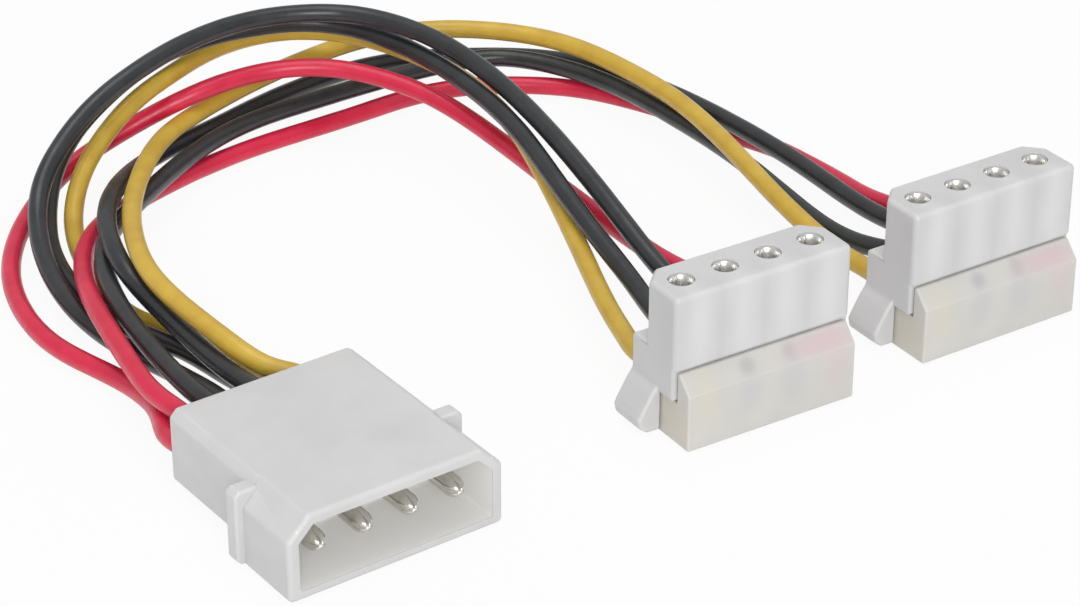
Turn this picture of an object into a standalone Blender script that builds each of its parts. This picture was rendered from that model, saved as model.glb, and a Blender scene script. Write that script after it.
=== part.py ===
"""Y splitter cable for four-pin disk drive power: one pin plug and two right-angle wire-cover sockets.

The frame is the plug's: +X runs along its row of pins, its mouth faces -Y, its wires leave at +Y
and +Z is up. The origin is the middle of the plug's front bottom edge. Everything rests on z = 0.
"""
import math

import bmesh
import bpy
import numpy as np
from mathutils import Matrix, Vector

for old in list(bpy.data.objects):
    bpy.data.objects.remove(old, do_unlink=True)

MM = 0.001

# Shared sizes
PITCH = 5.08 * MM
POSITIONS = 4
GAP = 0.3 * MM
WIRE_DIAMETER = 2.1 * MM
WIRE_STEP = 4.1 * MM

# Plug housing
PLUG_WIDTH = 23.5 * MM
PLUG_HEIGHT = 8.8 * MM
PLUG_LENGTH = 23.2 * MM
SHROUD_LENGTH = 9.5 * MM
SHROUD_CORNER = 2.3 * MM
SHROUD_FLAT_WALL = 1.0 * MM
SHROUD_SIDE_WALL = 1.15 * MM
MOUTH_DEPTH = 8.6 * MM
REAR_WIDTH = 20.8 * MM
REAR_LIFT = 0.9 * MM
REAR_CORNER = 0.8 * MM
FLOOR_THICKNESS = 2.6 * MM
CAVITY_WALL = 0.48 * MM
CAVITY_CORNER = 1.2 * MM
TAB_PROUD = 0.8 * MM
TAB_LENGTH = 1.8 * MM
TAB_BOTTOM = 0.3 * MM
TAB_TOP = 8.2 * MM
TAB_SLOPE = 0.5 * MM
TAB_REACH_IN = 1.8 * MM

# Plug pins
PIN_DIAMETER = 2.1 * MM
PIN_SET_BACK = 0.4 * MM
PIN_NOSE = 1.9 * MM
PIN_BODY_LENGTH = 3.4 * MM
PIN_BARREL_DIAMETER = 3.3 * MM
WIRE_START = 19.6 * MM
PAIR_TILT = math.radians(38.3)
# Which side of a cavity its upper wire leaves on: the right in the first, the left in the others
UPPER_SIDE = (1, -1, -1, -1)

# Sockets: where each stands on the table, and how far it is turned
SOCKET_A_PLACE = (43.37 * MM, 3.84 * MM)
SOCKET_A_TURN = math.radians(-3.65)
SOCKET_B_PLACE = (72.84 * MM, 3.36 * MM)
SOCKET_B_TURN = math.radians(-2.54)

# Socket housing
SOCKET_HEIGHT = 16.2 * MM
BLOCK_END = 2.795 * MM
BLOCK_DEPTH = 6.6 * MM
BLOCK_BOTTOM = 7.96 * MM
BLOCK_CORNER = 1.9 * MM
SHOULDER_BACK = 4.2 * MM
SHOULDER_TOP = 9.2 * MM
SHOULDER_FRONT = 2.9 * MM
HOLE_DIAMETER = 2.7 * MM
HOLE_LIP = 0.4 * MM
CHAMBER_BOTTOM = 8.6 * MM
WIRE_HEIGHT = 4.6 * MM

EAR_PROUD = 2.2 * MM
EAR_FRONT = -0.5 * MM
EAR_BOTTOM = 0.3 * MM
EAR_TOP = 6.4 * MM
EAR_CORNER = 1.1 * MM

# Socket cover, and how far the housing's shoulder stands past each of its ends
COVER_WIDTH = 19.8 * MM
SHOULDER_STEP = 0.5 * MM
COVER_FRONT = 5.1 * MM
COVER_LEDGE = 6.12 * MM
COVER_BACK = 4.4 * MM

# Socket contacts
SLEEVE_DIAMETER = 3.3 * MM
SLEEVE_BORE = 2.3 * MM
SLEEVE_FLOOR = 0.6 * MM
BLADE_THICKNESS = 0.6 * MM
BLADE_ARM = 0.4 * MM
BLADE_BOTTOM = 3.0 * MM
NECK_WIDTH = 2.4 * MM

ARC_STEPS = 6
ROUND_STEPS = 24


# Materials, one for each piece
def material(name, colour, roughness, metallic=0.0):
    look = bpy.data.materials.new(name)
    look.use_nodes = True
    shader = look.node_tree.nodes["Principled BSDF"]
    shader.inputs["Base Color"].default_value = (*colour, 1.0)
    shader.inputs["Roughness"].default_value = roughness
    shader.inputs["Metallic"].default_value = metallic
    return look


NYLON = (0.66, 0.65, 0.61)
TIN = (0.74, 0.73, 0.70)
YELLOW = (0.66, 0.42, 0.05)
BLACK = (0.025, 0.026, 0.028)
RED = (0.71, 0.035, 0.085)


# Shapes
def add_object(name, mesh, look=None):
    piece = bpy.data.objects.new(name, mesh)
    bpy.context.scene.collection.objects.link(piece)
    if look:
        mesh.materials.append(look)
    return piece


def on_axis(axis, first, second, along):
    """A point from its two outline coordinates and its place along the extruded axis."""
    if axis == "X":
        return (along, first, second)
    if axis == "Y":
        return (first, along, second)
    return (first, second, along)


def prism(name, outline, axis, low, high, look=None):
    """An outline drawn across an axis and extruded along it."""
    shape = bmesh.new()
    corners = [shape.verts.new(on_axis(axis, a, b, low)) for a, b in outline]
    face = shape.faces.new(corners)
    grown = bmesh.ops.extrude_face_region(shape, geom=[face])
    moved = [v for v in grown["geom"] if isinstance(v, bmesh.types.BMVert)]
    bmesh.ops.translate(shape, verts=moved, vec=Vector(on_axis(axis, 0, 0, high - low)))
    bmesh.ops.recalc_face_normals(shape, faces=shape.faces)
    mesh = bpy.data.meshes.new(name)
    shape.to_mesh(mesh)
    shape.free()
    return add_object(name, mesh, look)


def turned(name, profile, turn_to, look=None):
    """A profile of (radius, height) pairs turned once round its own +Z, then laid along an axis."""
    shape = bmesh.new()
    points = [shape.verts.new((r, 0, z)) for r, z in profile]
    edges = [shape.edges.new(pair) for pair in zip(points, points[1:])]
    bmesh.ops.spin(
        shape,
        geom=points + edges,
        axis=(0, 0, 1),
        cent=(0, 0, 0),
        angle=2 * math.pi,
        steps=ROUND_STEPS,
        use_merge=True,
    )
    bmesh.ops.remove_doubles(shape, verts=shape.verts, dist=1e-6)
    bmesh.ops.recalc_face_normals(shape, faces=shape.faces)
    shape.transform(turn_to)
    mesh = bpy.data.meshes.new(name)
    shape.to_mesh(mesh)
    shape.free()
    piece = add_object(name, mesh, look)
    mesh.shade_smooth()
    mesh.set_sharp_from_angle(angle=math.radians(40))
    return piece


def rod(name, radius, low, high, turn_to):
    """A plain cylinder between two heights of its own axis."""
    return turned(name, [(0, low), (radius, low), (radius, high), (0, high)], turn_to)


def boolean(body, tool, operation):
    step = body.modifiers.new(tool.name, "BOOLEAN")
    step.operation = operation
    step.object = tool
    step.solver = "EXACT"
    tool.hide_render = True
    tool.display_type = "WIRE"


def cut(body, tool):
    boolean(body, tool, "DIFFERENCE")


def join(body, tool):
    boolean(body, tool, "UNION")


def box_outline(left, right, bottom, top):
    return [(left, bottom), (right, bottom), (right, top), (left, top)]


def rounded_outline(left, right, bottom, top, radius):
    """A rectangle with its four corners rounded."""
    points = []
    centres = (
        (right - radius, top - radius, 0),
        (left + radius, top - radius, 90),
        (left + radius, bottom + radius, 180),
        (right - radius, bottom + radius, 270),
    )
    for cx, cz, start in centres:
        for step in range(ARC_STEPS + 1):
            turn = math.radians(start + 90 * step / ARC_STEPS)
            points.append((cx + radius * math.cos(turn), cz + radius * math.sin(turn)))
    return points


def row(i):
    """How far position i stands from the middle of a row of contacts."""
    return PITCH * (i - (POSITIONS - 1) / 2)


ALONG_Y = Matrix.Rotation(-math.pi / 2, 4, "X")
UPRIGHT = Matrix.Identity(4)

# Plug housing: a keyed shroud in front, a block with one open cavity for each terminal behind
pin_height = PLUG_HEIGHT / 2
cavity = PITCH - CAVITY_WALL
half = PLUG_WIDTH / 2


def keyed_outline(side, bottom, top, corner):
    """The shroud's outline: square below, with both upper corners cut off."""
    return [
        (-side, bottom),
        (side, bottom),
        (side, top - corner),
        (side - corner, top),
        (-side + corner, top),
        (-side, top - corner),
    ]


plug_housing = prism(
    "plug_housing",
    keyed_outline(half, 0, PLUG_HEIGHT, SHROUD_CORNER),
    "Y",
    0,
    SHROUD_LENGTH,
    material("plug_nylon", NYLON, 0.42),
)
rear_outline = keyed_outline(REAR_WIDTH / 2, REAR_LIFT, PLUG_HEIGHT, REAR_CORNER)
join(plug_housing, prism("rear_block", rear_outline, "Y", MOUTH_DEPTH, PLUG_LENGTH))
for side, name in ((-1, "tab_left"), (1, "tab_right")):
    inner = side * (half - SHROUD_SIDE_WALL / 2)
    outer = side * (half + TAB_PROUD)
    outline = [
        (inner, TAB_BOTTOM),
        (outer - side * TAB_SLOPE, TAB_BOTTOM),
        (outer, TAB_BOTTOM + TAB_SLOPE),
        (outer, TAB_TOP - TAB_SLOPE),
        (outer - side * TAB_SLOPE, TAB_TOP),
        (side * (half - TAB_REACH_IN), TAB_TOP),
    ]
    # The tab stops just short of the shroud's back face, so that no two faces share a plane
    back = SHROUD_LENGTH - 0.05 * MM
    join(plug_housing, prism(name, outline, "Y", back - TAB_LENGTH, back))
mouth = keyed_outline(
    half - SHROUD_SIDE_WALL,
    SHROUD_FLAT_WALL,
    PLUG_HEIGHT - SHROUD_FLAT_WALL,
    SHROUD_CORNER - SHROUD_SIDE_WALL * (2 - math.sqrt(2)),
)
cut(plug_housing, prism("mouth", mouth, "Y", -MM, MOUTH_DEPTH))
floor_back = MOUTH_DEPTH + FLOOR_THICKNESS
for i in range(POSITIONS):
    bore = rod(
        f"plug_bore_{i + 1}",
        PIN_DIAMETER / 2 + GAP,
        MOUTH_DEPTH - MM,
        floor_back + MM,
        Matrix.Translation((row(i), 0, pin_height)) @ ALONG_Y,
    )
    cut(plug_housing, bore)
    outline = rounded_outline(
        row(i) - cavity / 2,
        row(i) + cavity / 2,
        pin_height - cavity / 2,
        pin_height + cavity / 2,
        CAVITY_CORNER,
    )
    cut(plug_housing, prism(f"plug_cavity_{i + 1}", outline, "Y", floor_back, PLUG_LENGTH + MM))

# Plug pins: one terminal in each cavity, its round pin standing in the mouth
pin_radius = PIN_DIAMETER / 2
body_radius = cavity / 2 - GAP
body_front = floor_back + GAP
body_back = body_front + PIN_BODY_LENGTH
barrel = PIN_BARREL_DIAMETER / 2
for i in range(POSITIONS):
    profile = [(0, PIN_SET_BACK)]
    for step in range(1, 6):
        turn = math.radians(18 * step)
        profile.append((pin_radius * math.sin(turn), PIN_SET_BACK + PIN_NOSE * (1 - math.cos(turn))))
    profile += [
        (pin_radius, body_front),
        (body_radius, body_front),
        (body_radius, body_back),
        (barrel, body_back + (body_radius - barrel)),
        (barrel, WIRE_START - GAP),
        (0, WIRE_START - GAP),
    ]
    turned(
        f"plug_pin_{i + 1}",
        profile,
        Matrix.Translation((row(i), 0, pin_height)) @ ALONG_Y,
        material(f"plug_pin_{i + 1}_tin", TIN, 0.22, 1.0),
    )

# Sockets: a housing with four round chambers, a cover below it and four forked contacts
parting_low = WIRE_HEIGHT - GAP / 2
parting_high = WIRE_HEIGHT + GAP / 2
groove = WIRE_DIAMETER / 2 + GAP
blade_half = groove + BLADE_ARM
slot_half = blade_half + GAP
slot_depth = BLADE_THICKNESS / 2 + GAP
sleeve = SLEEVE_DIAMETER / 2
chamber = sleeve + GAP
block_half = row(POSITIONS - 1) + BLOCK_END


def grooves(body, letter, use, front):
    """Half-round grooves for the four wires, from the back of the piece forwards."""
    for i in range(POSITIONS):
        lay = Matrix.Translation((row(i), 0, WIRE_HEIGHT)) @ ALONG_Y
        tool = rod(f"{use}_groove_{letter}{i + 1}", groove, front, COVER_BACK + MM, lay)
        tool.parent = body.parent
        cut(body, tool)


def socket(letter, place, turn):
    base = bpy.data.objects.new(f"socket_{letter}", None)
    base.location = (*place, 0)
    base.rotation_euler = (0, 0, turn)
    bpy.context.scene.collection.objects.link(base)

    def own(piece):
        piece.parent = base
        return piece

    # Housing: the mating block above, a wider shoulder over the wires, an ear flaring down each end
    back = BLOCK_DEPTH / 2
    block = [
        (-block_half, -back),
        (block_half, -back),
        (block_half, back - BLOCK_CORNER),
        (block_half - BLOCK_CORNER, back),
        (-block_half + BLOCK_CORNER, back),
        (-block_half, back - BLOCK_CORNER),
    ]
    nylon = material(f"socket_{letter}_nylon", NYLON, 0.42)
    housing = own(prism(f"socket_{letter}_housing", block, "Z", BLOCK_BOTTOM, SOCKET_HEIGHT, nylon))
    low = box_outline(-SHOULDER_FRONT, SHOULDER_BACK, parting_high, SHOULDER_TOP)
    wide = COVER_WIDTH / 2 + SHOULDER_STEP
    join(housing, own(prism(f"shoulder_{letter}", low, "X", -wide, wide)))
    reach = wide + EAR_PROUD
    for side, name in ((-1, "left"), (1, "right")):
        ear = [
            (COVER_WIDTH / 2 + GAP, EAR_BOTTOM),
            (reach - EAR_CORNER, EAR_BOTTOM),
            (reach - 0.2 * EAR_CORNER, EAR_BOTTOM + 0.6 * EAR_CORNER),
            (reach, EAR_BOTTOM + 1.5 * EAR_CORNER),
            (reach - 0.3 * EAR_CORNER, EAR_BOTTOM + 2.1 * EAR_CORNER),
            (wide + 0.35 * EAR_PROUD, WIRE_HEIGHT - GAP / 2),
            (wide + 0.1 * EAR_PROUD, WIRE_HEIGHT + 2 * GAP),
            (wide - GAP, EAR_TOP),
            (wide - EAR_CORNER, EAR_TOP),
            (wide - EAR_CORNER, WIRE_HEIGHT + GAP),
            (COVER_WIDTH / 2 + GAP, WIRE_HEIGHT + GAP),
        ]
        outline = [(side * x, z) for x, z in ear]
        join(housing, own(prism(f"ear_{letter}_{name}", outline, "Y", EAR_FRONT, COVER_BACK - GAP)))
    lip = SOCKET_HEIGHT - HOLE_LIP
    for i in range(POSITIONS):
        slot = box_outline(row(i) - slot_half, row(i) + slot_half, -slot_depth, slot_depth)
        cut(housing, own(prism(f"slot_{letter}{i + 1}", slot, "Z", parting_low - MM, CHAMBER_BOTTOM + MM / 2)))
    for i in range(POSITIONS):
        hollow = [
            (0, CHAMBER_BOTTOM),
            (chamber, CHAMBER_BOTTOM),
            (chamber, lip),
            (HOLE_DIAMETER / 2, lip),
            (HOLE_DIAMETER / 2, SOCKET_HEIGHT + MM),
            (0, SOCKET_HEIGHT + MM),
        ]
        stand = Matrix.Translation((row(i), 0, 0))
        cut(housing, own(turned(f"chamber_{letter}{i + 1}", hollow, stand)))
    grooves(housing, letter, "housing", -SHOULDER_FRONT - MM)

    # Cover: a tray under the wires, between the ears, and a front wall with a sloping top
    inside = SHOULDER_FRONT + GAP
    peak = BLOCK_BOTTOM - GAP
    tray = [
        (-COVER_FRONT, 0),
        (COVER_BACK, 0),
        (COVER_BACK, parting_low),
        (-inside, parting_low),
        (-inside, peak),
        (-inside - GAP / 2, peak),
        (-COVER_FRONT, COVER_LEDGE),
    ]
    wide = COVER_WIDTH / 2
    lid = material(f"socket_{letter}_cover_nylon", NYLON, 0.45)
    cover = own(prism(f"socket_{letter}_cover", tray, "X", -wide, wide, lid))
    grooves(cover, letter, "cover", -SHOULDER_FRONT)
    for i in range(POSITIONS):
        slot = box_outline(row(i) - slot_half, row(i) + slot_half, -slot_depth, slot_depth)
        tool = prism(f"cover_slot_{letter}{i + 1}", slot, "Z", BLADE_BOTTOM - GAP, parting_high + MM)
        cut(cover, own(tool))

    # Contacts: a sleeve for the pin above, a blade forked over the wire below
    blade_top = CHAMBER_BOTTOM - GAP
    sleeve_bottom = CHAMBER_BOTTOM + GAP
    sleeve_top = SOCKET_HEIGHT - HOLE_LIP - GAP
    for i in range(POSITIONS):
        stand = Matrix.Translation((row(i), 0, 0))
        profile = [
            (0, sleeve_bottom),
            (sleeve, sleeve_bottom),
            (sleeve, sleeve_top),
            (SLEEVE_BORE / 2, sleeve_top),
            (SLEEVE_BORE / 2, sleeve_bottom + SLEEVE_FLOOR),
            (0, sleeve_bottom + SLEEVE_FLOOR),
        ]
        tin = material(f"socket_{letter}_contact_{i + 1}_tin", TIN, 0.25, 1.0)
        contact = own(turned(f"socket_{letter}_contact_{i + 1}", profile, stand, tin))
        fork = [(-blade_half, BLADE_BOTTOM), (-groove, BLADE_BOTTOM)]
        for step in range(ARC_STEPS * 2 + 1):
            turn_by = math.radians(180 - 90 * step / ARC_STEPS)
            fork.append((groove * math.cos(turn_by), WIRE_HEIGHT + groove * math.sin(turn_by)))
        fork += [
            (groove, BLADE_BOTTOM),
            (blade_half, BLADE_BOTTOM),
            (blade_half, blade_top),
            (NECK_WIDTH / 2, blade_top),
            (NECK_WIDTH / 2, sleeve_bottom + SLEEVE_FLOOR / 2),
            (-NECK_WIDTH / 2, sleeve_bottom + SLEEVE_FLOOR / 2),
            (-NECK_WIDTH / 2, blade_top),
            (-blade_half, blade_top),
        ]
        outline = [(row(i) + x, z) for x, z in fork]
        blade = prism(f"blade_{letter}{i + 1}", outline, "Y", -BLADE_THICKNESS / 2, BLADE_THICKNESS / 2)
        join(contact, own(blade))


socket("a", SOCKET_A_PLACE, SOCKET_A_TURN)
socket("b", SOCKET_B_PLACE, SOCKET_B_TURN)


# Wires
def leave(i, upper):
    """The straight start of a wire: two share each plug cavity, one above and beside the other."""
    half_pair = (WIRE_DIAMETER + GAP) / 2
    side = half_pair * math.cos(PAIR_TILT)
    rise = half_pair * math.sin(PAIR_TILT)
    side *= UPPER_SIDE[i]
    x = row(i) + (side if upper else -side)
    z = pin_height + (rise if upper else -rise)
    return [(x, WIRE_START, z), (x, PLUG_LENGTH + 0.9 * MM, z)]


def enter(place, turn, i):
    """The straight end of a wire, in its groove between a socket's housing and its cover."""
    points = []
    for y in (8.0, 5.5, 2.9, 0.2, -2.6):
        x = row(i)
        y = y * MM
        points.append((
            place[0] + x * math.cos(turn) - y * math.sin(turn),
            place[1] + x * math.sin(turn) + y * math.cos(turn),
            WIRE_HEIGHT,
        ))
    return points


def smooth_line(route):
    """A smooth curve led almost through the route points, read again at even steps."""
    line = np.array(route, float)
    steered = line.copy()
    steered[1:-1] -= (line[:-2] - 2 * line[1:-1] + line[2:]) / 6
    first = 2 * steered[0] - steered[1]
    last = 2 * steered[-1] - steered[-2]
    knots = np.vstack([first, steered, last])
    fine = []
    for a, b, c, d in zip(knots, knots[1:], knots[2:], knots[3:]):
        for t in np.linspace(0, 1, 24, endpoint=False):
            near = (1 - t) ** 3 * a + (3 * t**3 - 6 * t**2 + 4) * b
            far = (-3 * t**3 + 3 * t**2 + 3 * t + 1) * c + t**3 * d
            fine.append((near + far) / 6)
    fine.append(steered[-1])
    fine = np.array(fine)
    run = np.concatenate([[0], np.cumsum(np.linalg.norm(np.diff(fine, axis=0), axis=1))])
    count = int(round(run[-1] / WIRE_STEP)) + 1
    marks = np.linspace(0, run[-1], count)
    return np.column_stack([np.interp(marks, run, fine[:, k]) for k in range(3)])


def wire(name, start, middle, end, colour):
    curve = bpy.data.curves.new(name, "CURVE")
    curve.dimensions = "3D"
    curve.bevel_depth = WIRE_DIAMETER / 2
    curve.bevel_resolution = 2
    curve.use_fill_caps = True
    route = start + [(x * MM, y * MM, z * MM) for x, y, z in middle] + end
    points = smooth_line(route)
    spline = curve.splines.new("POLY")
    spline.points.add(len(points) - 1)
    for point, place in zip(spline.points, points):
        point.co = (*place, 1)
    spline.use_smooth = True
    curve.materials.append(material(f"{name}_vinyl", colour, 0.32))
    piece = bpy.data.objects.new(name, curve)
    bpy.context.scene.collection.objects.link(piece)


def to_a(i):
    return enter(SOCKET_A_PLACE, SOCKET_A_TURN, i)


def to_b(i):
    return enter(SOCKET_B_PLACE, SOCKET_B_TURN, i)


# The route points are in millimetres, each set where the wire lies, one loop to each socket
wire("wire_a_red", leave(0, False), [
    (-8.5, 27.6, 3.2), (-6.0, 33.3, 2.3), (-5.5, 40.2, 1.5), (-6.4, 45.8, 1.2), (-7.5, 51.6, 1.2),
    (-7.0, 58.4, 1.2), (-4.8, 65.7, 1.3), (-1.0, 72.0, 1.6), (4.1, 77.2, 2.2), (10.3, 81.2, 3.2),
    (16.1, 82.5, 4.4), (21.4, 81.7, 6.4), (26.8, 79.7, 8.7), (33.3, 79.7, 8.9), (38.6, 77.7, 9.1),
    (42.7, 74.6, 8.9), (45.8, 70.2, 8.4), (48.2, 65.7, 7.6), (49.8, 60.3, 6.4), (50.2, 52.6, 5.6),
    (50.2, 44.2, 4.9), (50.1, 36.0, 4.5), (50.0, 28.3, 4.3), (50.0, 23.4, 4.4),
], to_a(3), RED)
wire("wire_a_black_1", leave(1, False), [
    (-0.8, 29.9, 3.1), (-0.6, 36.1, 2.0), (-0.8, 40.7, 1.4), (-1.5, 44.6, 1.2), (-2.4, 50.1, 1.3),
    (-2.8, 57.2, 2.2), (-1.2, 65.1, 3.6), (1.7, 71.3, 5.6), (5.2, 74.6, 8.4), (11.4, 77.3, 11.6),
    (17.4, 78.8, 13.4), (23.7, 80.4, 14.3), (29.8, 81.4, 14.6), (35.6, 81.3, 14.6), (41.4, 79.5, 14.4),
    (45.8, 76.1, 14.2), (48.5, 70.9, 14.0), (50.2, 64.5, 13.5), (50.7, 55.7, 12.5), (50.0, 46.4, 11.2),
    (48.9, 37.6, 9.6), (47.8, 29.6, 7.8), (47.1, 23.0, 6.0), (46.8, 17.2, 4.9),
], to_a(2), BLACK)
wire("wire_a_black_2", leave(2, False), [
    (3.1, 32.8, 2.2), (2.7, 37.6, 2.0), (2.0, 41.7, 2.1), (0.8, 45.4, 2.0), (-0.2, 50.5, 1.7),
    (-0.5, 57.6, 1.3), (0.7, 65.4, 1.3), (2.8, 71.6, 2.2), (6.5, 77.1, 4.9), (10.6, 79.5, 8.2),
    (15.7, 80.7, 10.9), (22.3, 82.8, 12.3), (28.3, 83.6, 12.8), (34.6, 83.6, 12.6), (40.6, 82.6, 12.2),
    (44.9, 80.0, 11.8), (47.6, 74.9, 11.6), (49.0, 66.9, 11.4), (49.0, 58.0, 11.1), (48.3, 49.1, 10.3),
    (46.3, 39.4, 8.8), (44.8, 30.6, 7.0), (43.5, 22.1, 5.4), (42.2, 17.0, 4.8),
], to_a(1), BLACK)
wire("wire_a_yellow", leave(3, False), [
    (8.3, 28.4, 2.4), (7.2, 33.4, 1.4), (6.2, 39.5, 1.2), (4.6, 44.8, 1.2), (2.5, 49.6, 1.2),
    (1.7, 53.9, 1.2), (2.5, 60.6, 1.2), (4.5, 68.5, 1.6), (7.2, 73.5, 3.4), (11.1, 76.8, 6.4),
    (18.2, 80.3, 9.2), (24.6, 82.4, 10.2), (31.8, 85.4, 10.2), (39.0, 86.3, 9.8), (44.2, 84.3, 9.6),
    (48.0, 80.8, 9.3), (50.4, 75.1, 9.2), (51.8, 67.8, 9.1), (51.6, 59.8, 8.9), (50.1, 51.0, 8.2),
    (47.4, 41.6, 6.4), (44.2, 32.6, 5.1), (39.6, 21.7, 4.6), (37.5, 15.5, 4.4),
], to_a(0), YELLOW)
wire("wire_b_red", leave(0, True), [
    (-6.9, 28.8, 5.1), (-7.0, 33.1, 5.1), (-5.8, 39.4, 5.1), (-4.0, 47.4, 5.0), (-1.5, 55.1, 4.2),
    (1.2, 60.8, 3.8), (4.4, 65.3, 3.4), (9.1, 69.8, 2.5), (14.1, 73.2, 1.4), (19.2, 75.1, 1.2),
    (25.4, 76.5, 1.2), (32.1, 77.3, 1.2), (38.8, 77.4, 1.2), (46.3, 77.4, 1.2), (54.0, 77.6, 1.2),
    (60.5, 75.8, 1.2), (65.5, 72.7, 1.2), (69.8, 68.7, 1.2), (73.0, 63.4, 1.2), (75.9, 55.7, 1.2),
    (77.4, 48.5, 1.3), (79.3, 43.0, 1.3), (79.5, 37.3, 1.5), (79.2, 30.5, 2.0), (78.2, 22.9, 3.0),
], to_b(3), RED)
wire("wire_b_black_1", leave(1, True), [
    (-3.9, 28.3, 5.2), (-3.4, 35.3, 5.0), (-2.2, 43.8, 4.9), (-0.9, 50.0, 5.0), (1.1, 55.9, 5.0),
    (4.3, 61.4, 4.8), (8.0, 65.3, 4.4), (14.0, 70.1, 3.8), (24.7, 76.7, 3.5), (33.2, 78.9, 3.6),
    (40.0, 79.2, 3.6), (47.5, 79.2, 3.6), (54.2, 78.9, 3.6), (60.6, 77.9, 3.6), (65.4, 75.8, 3.6),
    (69.2, 70.0, 3.6), (71.6, 61.6, 3.6), (72.0, 51.4, 3.6), (71.7, 40.7, 3.6), (70.2, 29.9, 3.5),
    (69.4, 22.8, 3.4), (69.3, 16.8, 3.8),
], to_b(1), BLACK)
wire("wire_b_black_2", leave(2, True), [
    (1.5, 29.4, 4.6), (1.6, 36.1, 4.3), (1.9, 44.1, 4.6), (2.0, 50.1, 5.3), (2.0, 54.0, 6.6),
    (3.8, 59.8, 7.1), (7.4, 66.0, 6.7), (13.3, 72.8, 5.1), (20.8, 77.9, 3.8), (28.6, 80.6, 3.2),
    (36.5, 83.2, 2.9), (43.4, 84.5, 2.8), (50.0, 85.2, 2.6), (56.2, 84.0, 2.6), (61.8, 81.7, 2.4),
    (66.6, 78.4, 2.4), (70.9, 74.2, 2.5), (73.7, 66.2, 3.3), (75.3, 56.9, 3.7), (76.2, 48.0, 3.7),
    (76.2, 37.6, 3.8), (75.7, 29.0, 3.7), (75.2, 20.5, 3.7),
], to_b(2), BLACK)
wire("wire_b_yellow", leave(3, True), [
    (6.0, 27.6, 4.9), (4.0, 29.6, 5.4), (2.8, 34.2, 6.4), (2.2, 40.4, 7.0), (2.2, 47.0, 7.5),
    (3.6, 53.1, 7.9), (7.1, 60.6, 7.6), (11.8, 67.5, 7.1), (18.8, 75.4, 6.4), (25.7, 79.9, 5.8),
    (33.5, 82.9, 5.7), (41.1, 84.6, 5.8), (47.4, 85.3, 5.9), (53.6, 85.1, 6.0), (59.7, 82.8, 6.1),
    (64.4, 79.3, 6.1), (68.3, 74.6, 6.1), (71.0, 68.3, 6.1), (71.9, 59.7, 6.1), (71.8, 50.6, 6.1),
    (69.7, 39.5, 6.0), (67.2, 29.0, 5.6), (66.2, 21.7, 4.9), (65.8, 16.2, 4.4),
], to_b(0), YELLOW)
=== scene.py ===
"""Power splitter cable: the dressed model, its stage, lights and camera."""
import math

import bmesh
import bpy
import numpy as np
from mathutils import Matrix, Vector


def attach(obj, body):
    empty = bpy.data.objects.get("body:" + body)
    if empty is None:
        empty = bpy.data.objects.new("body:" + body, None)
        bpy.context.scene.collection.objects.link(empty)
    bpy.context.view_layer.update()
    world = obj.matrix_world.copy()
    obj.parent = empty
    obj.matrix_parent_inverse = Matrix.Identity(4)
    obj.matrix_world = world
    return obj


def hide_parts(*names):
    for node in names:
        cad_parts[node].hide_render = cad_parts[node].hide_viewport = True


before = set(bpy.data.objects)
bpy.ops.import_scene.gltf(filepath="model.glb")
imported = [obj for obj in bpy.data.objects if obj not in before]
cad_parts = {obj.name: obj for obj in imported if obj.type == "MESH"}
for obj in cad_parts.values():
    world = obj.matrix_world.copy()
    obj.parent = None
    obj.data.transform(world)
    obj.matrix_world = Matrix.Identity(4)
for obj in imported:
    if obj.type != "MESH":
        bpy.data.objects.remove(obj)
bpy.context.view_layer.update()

# Camera: a long lens looking down on the cable from the plug's left front, as the photograph does.
# It looks at a point on the table between the plug and the two sockets.
LOOK_AT = Vector((0.03868, 0.03151, 0.0))
CAMERA_DISTANCE = 0.3529
CAMERA_TURN = math.radians(-35.78)
CAMERA_RISE = math.radians(29.72)
LENS_MM = 112.9

camera = bpy.data.objects.new("camera", bpy.data.cameras.new("camera"))
bpy.context.scene.collection.objects.link(camera)
camera.data.sensor_width = 36
camera.data.lens = LENS_MM
camera.data.clip_start = 0.01
away = Vector((
    math.cos(CAMERA_RISE) * math.sin(CAMERA_TURN),
    -math.cos(CAMERA_RISE) * math.cos(CAMERA_TURN),
    math.sin(CAMERA_RISE),
))
camera.location = LOOK_AT + away * CAMERA_DISTANCE
camera.rotation_euler = away.to_track_quat("Z", "Y").to_euler()
bpy.context.scene.camera = camera
bpy.context.scene.view_settings.view_transform = "Standard"

# Table: a plain white sheet under the cable, which takes its soft shadow.
# To the camera, and where metal and nylon mirror it, it shows mostly as even white paper.
PAPER_SHARE = 0.93


def worked(look, operation, first, second):
    """The output of a sum on two values; each is a number or another node's output."""
    step = look.node_tree.nodes.new("ShaderNodeMath")
    step.operation = operation
    for socket, given in zip(step.inputs, (first, second)):
        if isinstance(given, bpy.types.NodeSocket):
            look.node_tree.links.new(given, socket)
        else:
            socket.default_value = given
    return step.outputs[0]


bpy.ops.mesh.primitive_plane_add(size=6, location=(0.04, 0.04, -0.0002))
table = bpy.context.object
table.name = "table"
paper = bpy.data.materials.new("table_paper")
paper.use_nodes = True
nodes, links = paper.node_tree.nodes, paper.node_tree.links
sheet = nodes["Principled BSDF"]
sheet.inputs["Base Color"].default_value = (0.82, 0.82, 0.82, 1)
sheet.inputs["Roughness"].default_value = 0.9
sheet.inputs["Specular IOR Level"].default_value = 0.1
white = nodes.new("ShaderNodeEmission")
white.inputs["Color"].default_value = (1, 1, 1, 1)
path = nodes.new("ShaderNodeLightPath")
seen = path.outputs["Is Camera Ray"]
for ray in ("Is Glossy Ray", "Is Transmission Ray"):
    seen = worked(paper, "MAXIMUM", seen, path.outputs[ray])
blend = nodes.new("ShaderNodeMixShader")
links.new(worked(paper, "MULTIPLY", seen, PAPER_SHARE), blend.inputs[0])
links.new(sheet.outputs[0], blend.inputs[1])
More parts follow.
